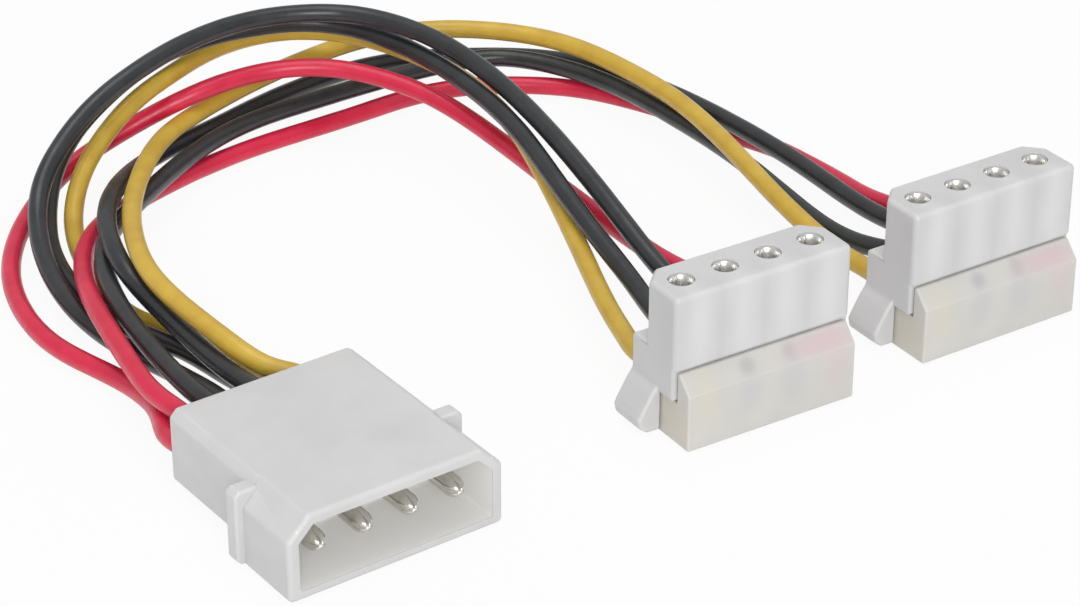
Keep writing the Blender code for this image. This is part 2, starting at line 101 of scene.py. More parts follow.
links.new(white.outputs[0], blend.inputs[2])
links.new(blend.outputs[0], nodes["Material Output"].inputs["Surface"])
table.data.materials.append(paper)

# Light: a bright even room, a large soft box on the camera's side and a fainter one overhead.
ROOM_LIGHT = 0.55

room = bpy.data.worlds.new("room")
bpy.context.scene.world = room
room.use_nodes = True
room.node_tree.nodes["Background"].inputs["Color"].default_value = (1, 1, 1, 1)
room.node_tree.nodes["Background"].inputs["Strength"].default_value = ROOM_LIGHT


def soft_box(name, place, aim, size, power):
    lamp = bpy.data.lights.new(name, "AREA")
    lamp.shape = "RECTANGLE"
    lamp.size, lamp.size_y = size
    lamp.energy = power
    box = bpy.data.objects.new(name, lamp)
    bpy.context.scene.collection.objects.link(box)
    box.location = place
    box.rotation_euler = (Vector(place) - Vector(aim)).to_track_quat("Z", "Y").to_euler()


soft_box("overhead_box", (0.02, 0.12, 0.75), (0.04, 0.04, 0), (0.6, 0.45), 1.7)
soft_box("front_box", (-0.30, -0.62, 0.36), (0.04, 0.04, 0), (0.45, 0.35), 2.9)

# Wires: stranded copper in glossy vinyl, 2.1 mm over the vinyl, two crimped into each plug terminal
# and one pressed into each socket contact. They lie as they fell, in two loose bundles.
WIRE_DIAMETER = 0.0021
WIRE_STEP = 0.0009
STRAND_RIPPLE = 0.012
TWIST_QUICK = 0.9
TWIST_SLOW = 0.13
PITCH = 0.00508
PIN_HEIGHT = 0.0044
WIRE_START = 0.0196
PLUG_BACK = 0.0232
STRAIGHT_PAST_BACK = 0.0009
ENTRY_PLACES = (0.008, 0.0055, 0.0029, 0.0002, -0.0026)
PAIR_HALF = 0.0012
PAIR_TILT = math.radians(38.3)
UPPER_SIDE = (1, -1, -1, -1)
WIRE_HEIGHT = 0.0046
SOCKET_PLACES = {"a": (0.04337, 0.00384), "b": (0.07284, 0.00336)}
SOCKET_TURNS = {"a": math.radians(-3.65), "b": math.radians(-2.54)}


def row(i):
    return PITCH * (i - 1.5)


def leave(i, upper):
    """The straight start of a wire in plug cavity i, above or below its fellow."""
    side = PAIR_HALF * math.cos(PAIR_TILT) * UPPER_SIDE[i]
    rise = PAIR_HALF * math.sin(PAIR_TILT)
    x = row(i) + (side if upper else -side)
    z = PIN_HEIGHT + (rise if upper else -rise)
    return [(x, WIRE_START, z), (x, PLUG_BACK + STRAIGHT_PAST_BACK, z)]


def enter(letter, i):
    """The straight end of a wire between a socket's housing and its cover."""
    x0, y0 = SOCKET_PLACES[letter]
    turn = SOCKET_TURNS[letter]
    x = row(i)
    return [(
        x0 + x * math.cos(turn) - y * math.sin(turn),
        y0 + x * math.sin(turn) + y * math.cos(turn),
        WIRE_HEIGHT,
    ) for y in ENTRY_PLACES]


def smooth_line(route):
    """A smooth curve led almost through the route points, read again at even steps."""
    line = np.array(route, float)
    steered = line.copy()
    steered[1:-1] -= (line[:-2] - 2 * line[1:-1] + line[2:]) / 6
    knots = np.vstack([2 * steered[0] - steered[1], steered, 2 * steered[-1] - steered[-2]])
    fine = []
    for a, b, c, d in zip(knots, knots[1:], knots[2:], knots[3:]):
        for t in np.linspace(0, 1, 24, endpoint=False):
            near = (1 - t) ** 3 * a + (3 * t**3 - 6 * t**2 + 4) * b
            far = (-3 * t**3 + 3 * t**2 + 3 * t + 1) * c + t**3 * d
            fine.append((near + far) / 6)
    fine = np.array(fine + [steered[-1]])
    run = np.concatenate([[0], np.cumsum(np.linalg.norm(np.diff(fine, axis=0), axis=1))])
    marks = np.linspace(0, run[-1], int(round(run[-1] / WIRE_STEP)) + 1)
    return np.column_stack([np.interp(marks, run, fine[:, k]) for k in range(3)])


def start_look(name):
    """A new material, its links and its shader."""
    look = bpy.data.materials.new(name)
    look.use_nodes = True
    return look, look.node_tree.links, look.node_tree.nodes["Principled BSDF"]


def noise(look, scale, detail=3.0, stretch=(1, 1, 1)):
    """Noise on the piece's own coordinates; scale is in grains per millimetre."""
    nodes, links = look.node_tree.nodes, look.node_tree.links
    coords = nodes.new("ShaderNodeTexCoord")
    size = nodes.new("ShaderNodeMapping")
    size.inputs["Scale"].default_value = [1000 * scale * s for s in stretch]
    links.new(coords.outputs["Object"], size.inputs["Vector"])
    grain = nodes.new("ShaderNodeTexNoise")
    grain.inputs["Scale"].default_value = 1.0
    grain.inputs["Detail"].default_value = detail
    links.new(size.outputs[0], grain.inputs["Vector"])
    return grain.outputs["Fac"]


def spread(look, value, low, high, start=0.3, stop=0.7):
    """A value between start and stop, laid out again between low and high."""
    span = look.node_tree.nodes.new("ShaderNodeMapRange")
    for socket, number in zip(("From Min", "From Max", "To Min", "To Max"), (start, stop, low, high)):
        span.inputs[socket].default_value = number
    look.node_tree.links.new(value, span.inputs["Value"])
    return span.outputs[0]


def mixed(look, share, first, second):
    """Two colours mixed by a share; each is a colour or another node's output."""
    blend = look.node_tree.nodes.new("ShaderNodeMix")
    blend.data_type = "RGBA"
    pairs = ((blend.inputs["Factor"], share), (blend.inputs[6], first), (blend.inputs[7], second))
    for socket, given in pairs:
        if isinstance(given, bpy.types.NodeSocket):
            look.node_tree.links.new(given, socket)
        else:
            socket.default_value = given if isinstance(given, float) else (*given, 1)
    return blend.outputs[2]


def bumped(look, height, depth, under=None):
    """A normal raised by a height of 0 to 1 over a depth in millimetres."""
    bump = look.node_tree.nodes.new("ShaderNodeBump")
    bump.inputs["Strength"].default_value = 1.0
    bump.inputs["Distance"].default_value = depth / 1000
    look.node_tree.links.new(height, bump.inputs["Height"])
    if under:
        look.node_tree.links.new(under, bump.inputs["Normal"])
    return bump.outputs[0]


def vinyl(name, colour, worn, gloss):
    """Extruded vinyl: glossy, with slow ripples over the strands and a faint grain."""
    look, links, shader = start_look(name)
    base = mixed(look, spread(look, noise(look, 0.35), 0.0, 1.0), colour, worn)
    links.new(base, shader.inputs["Base Color"])
    links.new(spread(look, noise(look, 0.8), gloss - 0.05, gloss + 0.09), shader.inputs["Roughness"])
    ripple = bumped(look, noise(look, 0.55, 2.0), 0.035)
    links.new(bumped(look, noise(look, 9.0, 2.0), 0.004, ripple), shader.inputs["Normal"])
    shader.inputs["Coat Weight"].default_value = 0.12
    shader.inputs["Coat Roughness"].default_value = 0.18
    return look


yellow_vinyl = vinyl("yellow_vinyl", (0.70, 0.47, 0.055), (0.60, 0.38, 0.04), 0.36)
black_vinyl = vinyl("black_vinyl", (0.020, 0.022, 0.025), (0.032, 0.034, 0.038), 0.30)
red_vinyl = vinyl("red_vinyl", (0.76, 0.020, 0.075), (0.64, 0.012, 0.052), 0.34)


def wire(name, start, middle, end, look):
    """One wire: its route in metres at both ends, and in millimetres between them."""
    curve = bpy.data.curves.new(name + "_vinyl", "CURVE")
    curve.dimensions = "3D"
    curve.bevel_depth = WIRE_DIAMETER / 2
    curve.bevel_resolution = 7
    curve.use_fill_caps = True
    points = smooth_line(start + [(x / 1000, y / 1000, z / 1000) for x, y, z in middle] + end)
    spline = curve.splines.new("POLY")
    spline.points.add(len(points) - 1)
    for step, (point, place) in enumerate(zip(spline.points, points)):
        point.co = (*place, 1)
        # The strands inside lie in a slow twist that shows faintly as ripples in the vinyl
        twist = math.sin(step * TWIST_QUICK) * math.sin(step * TWIST_SLOW + len(name))
        point.radius = 1 - STRAND_RIPPLE * (0.5 + 0.5 * twist)
    spline.use_smooth = True
    curve.materials.append(look)
    piece = bpy.data.objects.new(name + "_vinyl", curve)
    bpy.context.scene.collection.objects.link(piece)
    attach(piece, "root")
    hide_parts(name)


wire("wire_a_red", leave(0, False), [
    (-8.5, 27.6, 3.2), (-6.0, 33.3, 2.3), (-5.5, 40.2, 1.5), (-6.4, 45.8, 1.2), (-7.5, 51.6, 1.2),
    (-7.0, 58.4, 1.2), (-4.8, 65.7, 1.3), (-1.0, 72.0, 1.6), (4.1, 77.2, 2.2), (10.3, 81.2, 3.2),
    (16.1, 82.5, 4.4), (21.4, 81.7, 6.4), (26.8, 79.7, 8.7), (33.3, 79.7, 8.9), (38.6, 77.7, 9.1),
    (42.7, 74.6, 8.9), (45.8, 70.2, 8.4), (48.2, 65.7, 7.6), (49.8, 60.3, 6.4), (50.2, 52.6, 5.6),
    (50.2, 44.2, 4.9), (50.1, 36.0, 4.5), (50.0, 28.3, 4.3), (50.0, 23.4, 4.4),
], enter("a", 3), red_vinyl)
wire("wire_a_black_1", leave(1, False), [
    (-0.8, 29.9, 3.1), (-0.6, 36.1, 2.0), (-0.8, 40.7, 1.4), (-1.5, 44.6, 1.2), (-2.4, 50.1, 1.3),
    (-2.8, 57.2, 2.2), (-1.2, 65.1, 3.6), (1.7, 71.3, 5.6), (5.2, 74.6, 8.4), (11.4, 77.3, 11.6),
    (17.4, 78.8, 13.4), (23.7, 80.4, 14.3), (29.8, 81.4, 14.6), (35.6, 81.3, 14.6), (41.4, 79.5, 14.4),
    (45.8, 76.1, 14.2), (48.5, 70.9, 14.0), (50.2, 64.5, 13.5), (50.7, 55.7, 12.5), (50.0, 46.4, 11.2),
    (48.9, 37.6, 9.6), (47.8, 29.6, 7.8), (47.1, 23.0, 6.0), (46.8, 17.2, 4.9),
], enter("a", 2), black_vinyl)
wire("wire_a_black_2", leave(2, False), [
    (3.1, 32.8, 2.2), (2.7, 37.6, 2.0), (2.0, 41.7, 2.1), (0.8, 45.4, 2.0), (-0.2, 50.5, 1.7),
    (-0.5, 57.6, 1.3), (0.7, 65.4, 1.3), (2.8, 71.6, 2.2), (6.5, 77.1, 4.9), (10.6, 79.5, 8.2),
    (15.7, 80.7, 10.9), (22.3, 82.8, 12.3), (28.3, 83.6, 12.8), (34.6, 83.6, 12.6), (40.6, 82.6, 12.2),
    (44.9, 80.0, 11.8), (47.6, 74.9, 11.6), (49.0, 66.9, 11.4), (49.0, 58.0, 11.1), (48.3, 49.1, 10.3),
    (46.3, 39.4, 8.8), (44.8, 30.6, 7.0), (43.5, 22.1, 5.4), (42.2, 17.0, 4.8),
], enter("a", 1), black_vinyl)
wire("wire_a_yellow", leave(3, False), [
    (8.3, 28.4, 2.4), (7.2, 33.4, 1.4), (6.2, 39.5, 1.2), (4.6, 44.8, 1.2), (2.5, 49.6, 1.2),
    (1.7, 53.9, 1.2), (2.5, 60.6, 1.2), (4.5, 68.5, 1.6), (7.2, 73.5, 3.4), (11.1, 76.8, 6.4),
    (18.2, 80.3, 9.2), (24.6, 82.4, 10.2), (31.8, 85.4, 10.2), (39.0, 86.3, 9.8), (44.2, 84.3, 9.6),
    (48.0, 80.8, 9.3), (50.4, 75.1, 9.2), (51.8, 67.8, 9.1), (51.6, 59.8, 8.9), (50.1, 51.0, 8.2),
    (47.4, 41.6, 6.4), (44.2, 32.6, 5.1), (39.6, 21.7, 4.6), (37.5, 15.5, 4.4),
], enter("a", 0), yellow_vinyl)
wire("wire_b_red", leave(0, True), [
    (-6.9, 28.8, 5.1), (-7.0, 33.1, 5.1), (-5.8, 39.4, 5.1), (-4.0, 47.4, 5.0), (-1.5, 55.1, 4.2),
    (1.2, 60.8, 3.8), (4.4, 65.3, 3.4), (9.1, 69.8, 2.5), (14.1, 73.2, 1.4), (19.2, 75.1, 1.2),
    (25.4, 76.5, 1.2), (32.1, 77.3, 1.2), (38.8, 77.4, 1.2), (46.3, 77.4, 1.2), (54.0, 77.6, 1.2),
    (60.5, 75.8, 1.2), (65.5, 72.7, 1.2), (69.8, 68.7, 1.2), (73.0, 63.4, 1.2), (75.9, 55.7, 1.2),
    (77.4, 48.5, 1.3), (79.3, 43.0, 1.3), (79.5, 37.3, 1.5), (79.2, 30.5, 2.0), (78.2, 22.9, 3.0),
], enter("b", 3), red_vinyl)
wire("wire_b_black_1", leave(1, True), [
    (-3.9, 28.3, 5.2), (-3.4, 35.3, 5.0), (-2.2, 43.8, 4.9), (-0.9, 50.0, 5.0), (1.1, 55.9, 5.0),
    (4.3, 61.4, 4.8), (8.0, 65.3, 4.4), (14.0, 70.1, 3.8), (24.7, 76.7, 3.5), (33.2, 78.9, 3.6),
    (40.0, 79.2, 3.6), (47.5, 79.2, 3.6), (54.2, 78.9, 3.6), (60.6, 77.9, 3.6), (65.4, 75.8, 3.6),
    (69.2, 70.0, 3.6), (71.6, 61.6, 3.6), (72.0, 51.4, 3.6), (71.7, 40.7, 3.6), (70.2, 29.9, 3.5),
    (69.4, 22.8, 3.4), (69.3, 16.8, 3.8),
], enter("b", 1), black_vinyl)
wire("wire_b_black_2", leave(2, True), [
    (1.5, 29.4, 4.6), (1.6, 36.1, 4.3), (1.9, 44.1, 4.6), (2.0, 50.1, 5.3), (2.0, 54.0, 6.6),
    (3.8, 59.8, 7.1), (7.4, 66.0, 6.7), (13.3, 72.8, 5.1), (20.8, 77.9, 3.8), (28.6, 80.6, 3.2),
    (36.5, 83.2, 2.9), (43.4, 84.5, 2.8), (50.0, 85.2, 2.6), (56.2, 84.0, 2.6), (61.8, 81.7, 2.4),
    (66.6, 78.4, 2.4), (70.9, 74.2, 2.5), (73.7, 66.2, 3.3), (75.3, 56.9, 3.7), (76.2, 48.0, 3.7),
    (76.2, 37.6, 3.8), (75.7, 29.0, 3.7), (75.2, 20.5, 3.7),
], enter("b", 2), black_vinyl)
wire("wire_b_yellow", leave(3, True), [
    (6.0, 27.6, 4.9), (4.0, 29.6, 5.4), (2.8, 34.2, 6.4), (2.2, 40.4, 7.0), (2.2, 47.0, 7.5),
    (3.6, 53.1, 7.9), (7.1, 60.6, 7.6), (11.8, 67.5, 7.1), (18.8, 75.4, 6.4), (25.7, 79.9, 5.8),
    (33.5, 82.9, 5.7), (41.1, 84.6, 5.8), (47.4, 85.3, 5.9), (53.6, 85.1, 6.0), (59.7, 82.8, 6.1),
    (64.4, 79.3, 6.1), (68.3, 74.6, 6.1), (71.0, 68.3, 6.1), (71.9, 59.7, 6.1), (71.8, 50.6, 6.1),
    (69.7, 39.5, 6.0), (67.2, 29.0, 5.6), (66.2, 21.7, 4.9), (65.8, 16.2, 4.4),
], enter("b", 0), yellow_vinyl)

# Plug housing: one moulding of natural nylon, a keyed shroud in front and a block with an open
# cavity for each terminal behind it. A flange stands out each side, where a panel latch grips it.
PLUG_WIDTH = 23.5
PLUG_HEIGHT = 8.8
PLUG_LENGTH = 23.2
SHROUD_LENGTH = 9.5
SHROUD_CORNER = 2.3
FLAT_WALL = 1.0
SIDE_WALL = 1.15
MOUTH_DEPTH = 8.6
REAR_WIDTH = 20.8
REAR_LIFT = 0.9
REAR_CORNER = 0.8
FLOOR_BACK = 11.2
CAVITY = 4.6
CAVITY_CORNER = 1.2
PIN_BORE = 2.5
TAB_PROUD = 0.8
TAB_LENGTH = 1.8
TAB_BOTTOM = 0.3
TAB_TOP = 8.2
TAB_SLOPE = 0.5
TAB_REACH_IN = 1.8
CORNER_ROUND = 0.6
EDGE_ROUND = 0.5
SMALL_ROUND = (0.35, 0.3)
RIM_ROUND = 0.13
MM_ROW = [1000 * row(i) for i in range(4)]


def round_corners(points, radius, steps=4):
    """An outline with each corner led round in an arc, or left where its sides are too short."""
    line = []
    for k, corner in enumerate(points):
        here = Vector(corner)
        back = (Vector(points[k - 1]) - here)
        on = (Vector(points[(k + 1) % len(points)]) - here)
        opening = back.angle(on)
        reach = radius / math.tan(opening / 2)
        if reach > 0.48 * min(back.length, on.length):
            line.append(here)
            continue
        first = here + back.normalized() * reach
        centre = here + (back.normalized() + on.normalized()).normalized() * (radius / math.sin(opening / 2))
        spoke = first - centre
        turn = math.copysign(math.pi - opening, spoke.cross(here + on.normalized() * reach - centre))
        for s in range(steps + 1):
            c, d = math.cos(turn * s / steps), math.sin(turn * s / steps)
            line.append(centre + Vector((c * spoke.x - d * spoke.y, d * spoke.x + c * spoke.y)))
    return line


def on_axis(axis, first, second, along):
    """A point of a shape that runs along an axis."""
    if axis == "X":
        return (along, first, second)
    if axis == "Y":
        return (first, along, second)
    return (first, second, along)


def soft_prism(outline, axis, low, high, corner=0.0, edge=0.0, taper=0.0):
    """A rounded outline extruded along an axis, its end edges rounded too; sizes in millimetres."""
    line = round_corners(outline, corner) if corner else [Vector(p) for p in outline]
    area = sum(p.x * q.y - q.x * p.y for p, q in zip(line, line[1:] + line[:1]))
    if area < 0:
        line.reverse()
    inward = []
    for k, here in enumerate(line):
        a = (here - line[k - 1]).normalized()
        b = (line[(k + 1) % len(line)] - here).normalized()
        first, second = Vector((-a.y, a.x)), Vector((-b.y, b.x))
        inward.append((first + second) / (1 + first.dot(second)))
    levels = [(0.0, low), (0.0, high)]
    if edge:
        turns = [math.radians(22.5 * k) for k in range(5)]
        levels = [(edge * (1 - math.sin(t)), low + edge * (1 - math.cos(t))) for t in turns]
        levels += [(edge * (1 - math.sin(t)), high - edge * (1 - math.cos(t))) for t in reversed(turns)]
    shape = bmesh.new()
    rings = []
    for inset, along in levels:
        inset += taper * (along - low) / (high - low)
        spots = [p + n * inset for p, n in zip(line, inward)]
        rings.append([shape.verts.new(on_axis(axis, p.x, p.y, along)) for p in spots])
    for ring, after in zip(rings, rings[1:]):
        for k in range(len(line)):
            j = (k + 1) % len(line)
            shape.faces.new((ring[k], ring[j], after[j], after[k]))
    shape.faces.new(rings[0])
    shape.faces.new(rings[-1])
    return as_object("solid", shape)


def as_object(name, shape):
    """A shape kept in millimetres while it is cut; it is scaled to metres when it is finished."""
    bmesh.ops.recalc_face_normals(shape, faces=shape.faces)
    mesh = bpy.data.meshes.new(name)
    shape.to_mesh(mesh)
    shape.free()
    piece = bpy.data.objects.new(name, mesh)
    bpy.context.scene.collection.objects.link(piece)
    return piece


def lathe(profile, axis, centre=(0, 0), steps=48, dent=None):
    """A profile of (radius, along) pairs turned round an axis; dent(turn, along) scales the radius."""
    shape = bmesh.new()
    rings = []
    for radius, along in profile:
        ring = []
        for k in range(steps):
            turn = 2 * math.pi * k / steps
            r = max(radius, 1e-4) * (dent(turn, along) if dent else 1)
            a, b = centre[0] + r * math.cos(turn), centre[1] + r * math.sin(turn)
            ring.append(shape.verts.new(on_axis(axis, a, b, along)))
        rings.append(ring)
    for ring, after in zip(rings, rings[1:]):
        for k in range(steps):
            j = (k + 1) % steps
            shape.faces.new((ring[k], ring[j], after[j], after[k]))
    shape.faces.new(rings[0])
    shape.faces.new(rings[-1])
    return as_object("turned", shape)


def combine(body, tools, operation):
    """Joins the tools to a body or cuts them from it, and deletes them."""
    for tool in tools:
        step = body.modifiers.new("step", "BOOLEAN")
        step.operation = operation
        step.object = tool
        step.solver = "EXACT"
    settle(body)
    for tool in tools:
        bpy.data.objects.remove(tool, do_unlink=True)


def settle(body):
    """Works the modifiers into the mesh."""
    bpy.context.view_layer.update()
    mesh = bpy.data.meshes.new_from_object(body.evaluated_get(bpy.context.evaluated_depsgraph_get()))
    body.modifiers.clear()
    body.data = mesh


def finish_moulding(body, name, look, slot, *nodes):
    """The last small rounding of every edge left sharp, then smooth shading."""
    rim = body.modifiers.new("rim", "BEVEL")
    rim.width = RIM_ROUND
    rim.segments = 2
    rim.limit_method = "ANGLE"
    rim.angle_limit = math.radians(50)
    settle(body)
    body.data.shade_smooth()
    body.data.set_sharp_from_angle(angle=math.radians(55))
    even = body.modifiers.new("even", "WEIGHTED_NORMAL")
    even.keep_sharp = True
    even.weight = 100
    settle(body)
    body.data.transform(Matrix.Scale(0.001, 4))
    body.name = name
    body.data.materials.clear()
    body.data.materials.append(look)
    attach(body, "root")
    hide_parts(*nodes)


def around(look, centre, reach):
    """The piece's own coordinates, counted from a centre in shares of a reach; both in millimetres."""
    nodes = look.node_tree.nodes
    coords = nodes.new("ShaderNodeTexCoord")
    shift = nodes.new("ShaderNodeMapping")
    shift.vector_type = "TEXTURE"
    shift.inputs["Location"].default_value = [v / 1000 for v in centre]
    shift.inputs["Scale"].default_value = [v / 1000 for v in reach]
    look.node_tree.links.new(coords.outputs["Object"], shift.inputs["Vector"])
    return shift.outputs[0]


def patch(look, colour, centre, reach, tint, strength):
    """Mixes in a tint over a round patch; patches give a wire's colour showing through the nylon, and
    painted light and shade; sizes in millimetres.
    """
    nodes, links = look.node_tree.nodes, look.node_tree.links
    place = around(look, centre, reach)
    far = nodes.new("ShaderNodeVectorMath")
    far.operation = "LENGTH"
    links.new(place, far.inputs[0])
    span = nodes.new("ShaderNodeMapRange")
    span.interpolation_type = "SMOOTHSTEP"
    for socket, number in zip(("From Min", "From Max", "To Min", "To Max"), (0.2, 1.0, strength, 0.0)):
        span.inputs[socket].default_value = number
    links.new(far.outputs["Value"], span.inputs["Value"])
    return mixed(look, span.outputs[0], colour, tint)


# Painted glow inside the plug's mouth: its emission strength, and the slant of its box's cut corners
HOLLOW_PAINTED_GLOW = 0.05
HOLLOW_SLANT = 0.54


def paint_hollow_light(look, colour, centre, reach, tint, strength):
    """Mixes painted light into the walls inside a box with cut upper corners, with a faint emission there as
    painted glow, standing in for light scattered through the nylon.
    """
    nodes, links = look.node_tree.nodes, look.node_tree.links
    place = around(look, centre, reach)
    size = nodes.new("ShaderNodeVectorMath")
    size.operation = "ABSOLUTE"
    links.new(place, size.inputs[0])
    split = nodes.new("ShaderNodeSeparateXYZ")
    links.new(size.outputs[0], split.inputs[0])
    rise = nodes.new("ShaderNodeSeparateXYZ")
    links.new(place, rise.inputs[0])
    slant = worked(look, "ADD", split.outputs["X"], rise.outputs["Z"])
    far = worked(look, "MAXIMUM", split.outputs["X"], split.outputs["Y"])
    far = worked(look, "MAXIMUM", far, split.outputs["Z"])
    far = worked(look, "MAXIMUM", far, worked(look, "MULTIPLY", slant, HOLLOW_SLANT))
    mask = spread(look, far, strength, 0.0, 0.985, 1.0)
    shader = nodes["Principled BSDF"]
    # A faint emission here is painted glow
    shader.inputs["Emission Strength"].default_value = HOLLOW_PAINTED_GLOW
    links.new(mixed(look, mask, (0.0, 0.0, 0.0), tint), shader.inputs["Emission Color"])
    return mixed(look, mask, colour, tint)


def nylon(name, base, patches, gloss=0.40, painted_glow=None):
    """Natural nylon: milky, faintly clouded, satin from the mould; patches tint it, and a hollow can get
    painted light with a faint painted glow.
    """
    look, links, shader = start_look(name)
    cloudy = tuple(0.93 * v for v in base)
    colour = mixed(look, spread(look, noise(look, 0.16), 0.0, 1.0), base, cloudy)
    for centre, reach, tint, strength in patches:
        colour = patch(look, colour, centre, reach, tint, strength)
    # Inside a hollow: painted light, with a faint painted glow
    if painted_glow:
        colour = paint_hollow_light(look, colour, *painted_glow)
    links.new(colour, shader.inputs["Base Color"])
    links.new(spread(look, noise(look, 0.6), gloss - 0.05, gloss + 0.10), shader.inputs["Roughness"])
    sink = bumped(look, noise(look, 0.22, 1.0), 0.05)
    links.new(bumped(look, noise(look, 7.0, 2.0), 0.006, sink), shader.inputs["Normal"])
    shader.inputs["Subsurface Weight"].default_value = 0.30
    shader.inputs["Subsurface Radius"].default_value = (1.0, 0.95, 0.9)
    shader.inputs["Subsurface Scale"].default_value = 0.0011
    shader.inputs["IOR"].default_value = 1.53
    return look


def keyed(side, bottom, top, corner):
    """The plug's outline: a flat box whose upper corners are cut off, so that it fits one way up."""
    return [
        (-side, bottom), (side, bottom), (side, top - corner),
        (side - corner, top), (-side + corner, top), (-side, top - corner),
    ]


half = PLUG_WIDTH / 2
shroud = keyed(half, 0, PLUG_HEIGHT, SHROUD_CORNER)
shell = soft_prism(shroud, "Y", 0, SHROUD_LENGTH, CORNER_ROUND, EDGE_ROUND)
rear = keyed(REAR_WIDTH / 2, REAR_LIFT, PLUG_HEIGHT, REAR_CORNER)
added = [soft_prism(rear, "Y", MOUTH_DEPTH - 0.6, PLUG_LENGTH, CORNER_ROUND, EDGE_ROUND)]
for side in (-1, 1):
    outer = half + TAB_PROUD
    flange = [
        (side * (half - SIDE_WALL / 2), TAB_BOTTOM),
        (side * (outer - TAB_SLOPE), TAB_BOTTOM),
        (side * outer, TAB_BOTTOM + TAB_SLOPE),
        (side * outer, TAB_TOP - TAB_SLOPE),
        (side * (outer - TAB_SLOPE), TAB_TOP),
        (side * (half - TAB_REACH_IN), TAB_TOP),
    ]
    back = SHROUD_LENGTH - 0.05
    added.append(soft_prism(flange, "Y", back - TAB_LENGTH, back, *SMALL_ROUND))
combine(shell, added, "UNION")
inner_corner = SHROUD_CORNER - SIDE_WALL * (2 - math.sqrt(2))
mouth = keyed(half - SIDE_WALL, FLAT_WALL, PLUG_HEIGHT - FLAT_WALL, inner_corner)
holes = [soft_prism(mouth, "Y", -1.5, MOUTH_DEPTH, *SMALL_ROUND)]
for x in MM_ROW:
    bore = [(PIN_BORE / 2, MOUTH_DEPTH - 1), (PIN_BORE / 2, FLOOR_BACK + 1)]
    holes.append(lathe(bore, "Y", (x, PLUG_HEIGHT / 2), 32))
    low, high = (PLUG_HEIGHT - CAVITY) / 2, (PLUG_HEIGHT + CAVITY) / 2
    square = [(x - CAVITY / 2, low), (x + CAVITY / 2, low), (x + CAVITY / 2, high), (x - CAVITY / 2, high)]
    holes.append(soft_prism(square, "Y", FLOOR_BACK, PLUG_LENGTH + 1, CAVITY_CORNER, 0.25))
combine(shell, holes, "DIFFERENCE")

# Painted shade lies faintly grey along the roof over each terminal's body, and each pair of wires tints its
# cavity
NATURAL = (0.67, 0.67, 0.67)
PINK = (0.69, 0.54, 0.565)
VIOLET_GREY = (0.54, 0.53, 0.57)
AMBER = (0.69, 0.64, 0.49)
TERMINAL_PAINTED_SHADE = (0.60, 0.60, 0.60)
# Painted light for the walls inside the plug's mouth
MOUTH_PAINTED_LIGHT = (0.88, 0.875, 0.85)
# Painted shade along the roof over each terminal's body
plug_patches = [((x, 15.0, 4.4), (1.9, 7.5, 4.8), TERMINAL_PAINTED_SHADE, 0.30) for x in MM_ROW]
plug_patches += [
    ((MM_ROW[0], 22.6, 4.4), (3.4, 4.8, 6.0), PINK, 0.75),
    ((MM_ROW[1], 22.8, 4.4), (3.0, 4.6, 6.0), VIOLET_GREY, 0.70),
    ((MM_ROW[2], 22.8, 4.4), (3.0, 4.6, 6.0), VIOLET_GREY, 0.60),
    ((MM_ROW[3], 22.8, 4.4), (3.2, 4.4, 6.0), AMBER, 0.55),
]
# Painted light and a faint painted glow on the walls inside the mouth
mouth_painted_light = ((0, 4.5, PLUG_HEIGHT / 2), (half - 0.95, 4.4, PLUG_HEIGHT / 2 - 0.8), MOUTH_PAINTED_LIGHT, 0.8)
plug_nylon = nylon("plug_nylon", NATURAL, plug_patches, 0.40, mouth_painted_light)
finish_moulding(shell, "plug_moulding", plug_nylon, "plug_nylon", "plug_housing")

# Plug pins: strip brass rolled into a round pin with a seam along the top and a folded nose, tin
# plated, with a locking body behind the floor and a crimp barrel closed on the two wires.
PIN_RADIUS = 1.05
PIN_STATIONS = [2.6 + 0.8 * k for k in range(11)]
PIN_TIP = 0.9
PIN_NOSE = 1.5
BODY_RADIUS = 2.0
BODY_FRONT = 11.5
BODY_BACK = 14.9
BARREL_RADIUS = 1.65
BARREL_END = 19.3
SEAM_DEPTH = 0.14
SEAM_SPREAD = 0.11
FOLD_DEPTH = 0.5
FOLD_SPREAD = 0.3


def tin(name, base, gloss):
    """Tin plate: bright, clouded in places, with faint marks along the strip it was rolled from."""
    look, links, shader = start_look(name)
    dull = tuple(0.86 * v for v in base)
    links.new(mixed(look, spread(look, noise(look, 1.4), 0.0, 1.0), base, dull), shader.inputs["Base Color"])
    links.new(spread(look, noise(look, 2.2), gloss - 0.06, gloss + 0.10), shader.inputs["Roughness"])
    links.new(bumped(look, noise(look, 4.0, 3.0, (1, 0.12, 1)), 0.006), shader.inputs["Normal"])
    shader.inputs["Metallic"].default_value = 1.0
    return look


def finish_turned(piece, name, x, z, look, node):
    """Puts a turned piece in its place in the row, shades it smooth and gives it its metal."""
    piece.data.transform(Matrix.Scale(0.001, 4) @ Matrix.Translation((x, 0, z)))
    piece.data.shade_smooth()
    piece.data.set_sharp_from_angle(angle=math.radians(42))
    piece.name = name
    piece.data.materials.clear()
    piece.data.materials.append(look)
    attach(piece, "root")
    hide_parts(node)


def pin_dent(turn, along):
    """The rolled seam along the top, and four folds that close the nose."""
    scale = 1.0
    seam = abs((turn - math.pi / 2 + math.pi) % (2 * math.pi) - math.pi)
    if along < BODY_FRONT or along > BODY_BACK:
        scale -= SEAM_DEPTH * math.exp(-((seam / SEAM_SPREAD) ** 2))
    if along < PIN_TIP + PIN_NOSE:
        folded = 1 - (along - PIN_TIP) / PIN_NOSE
        fold = abs((turn + math.pi / 4) % (math.pi / 2) - math.pi / 4)
        scale -= FOLD_DEPTH * folded * math.exp(-((fold / FOLD_SPREAD) ** 2))
    return scale


